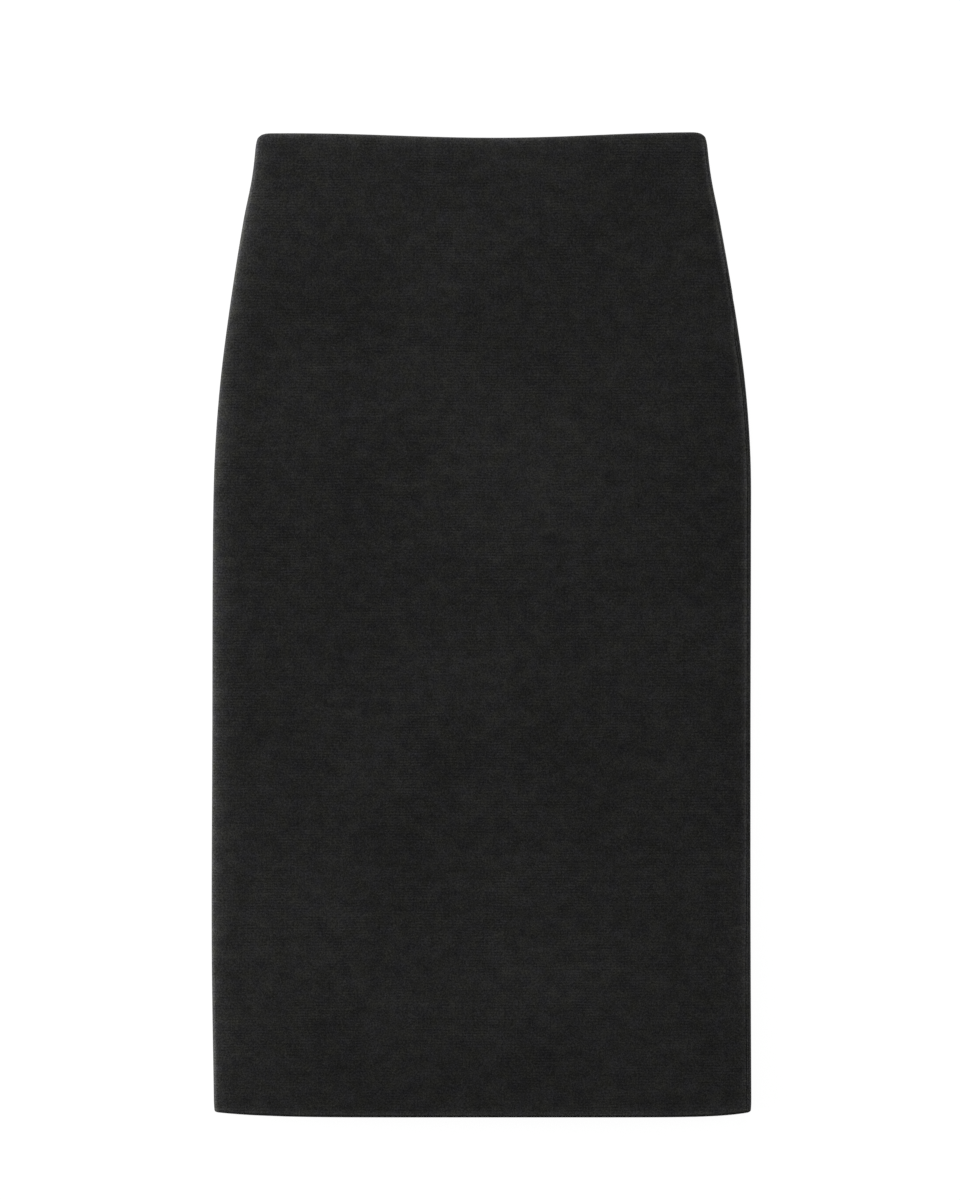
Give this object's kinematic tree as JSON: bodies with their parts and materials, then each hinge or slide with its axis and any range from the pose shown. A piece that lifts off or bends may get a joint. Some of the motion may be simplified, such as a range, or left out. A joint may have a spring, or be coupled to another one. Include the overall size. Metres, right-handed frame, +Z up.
{
  "type": "pencil skirt",
  "caption": "Slim knee-covering pull-on skirt in dense black double knit, tapered from hip to waist, laid flat with its front up.",
  "frame": {"origin": "on the surface that the skirt lies on, under the middle of its bounding box", "axes": "+X towards the wearer's left, +Y from the hem towards the waist, +Z up off the surface, through the back panel and then the front panel"},
  "size_m": [0.4298, 0.786, 0.0057],
  "materials": {
    "black_double_knit": "matt dense double knit with a faint crosswise rib and a soft bloom of fibre at its folds"
  },
  "bodies": {
    "root": {"front_panel": "black_double_knit", "back_panel": "black_double_knit"}
  },
  "joints": []
}
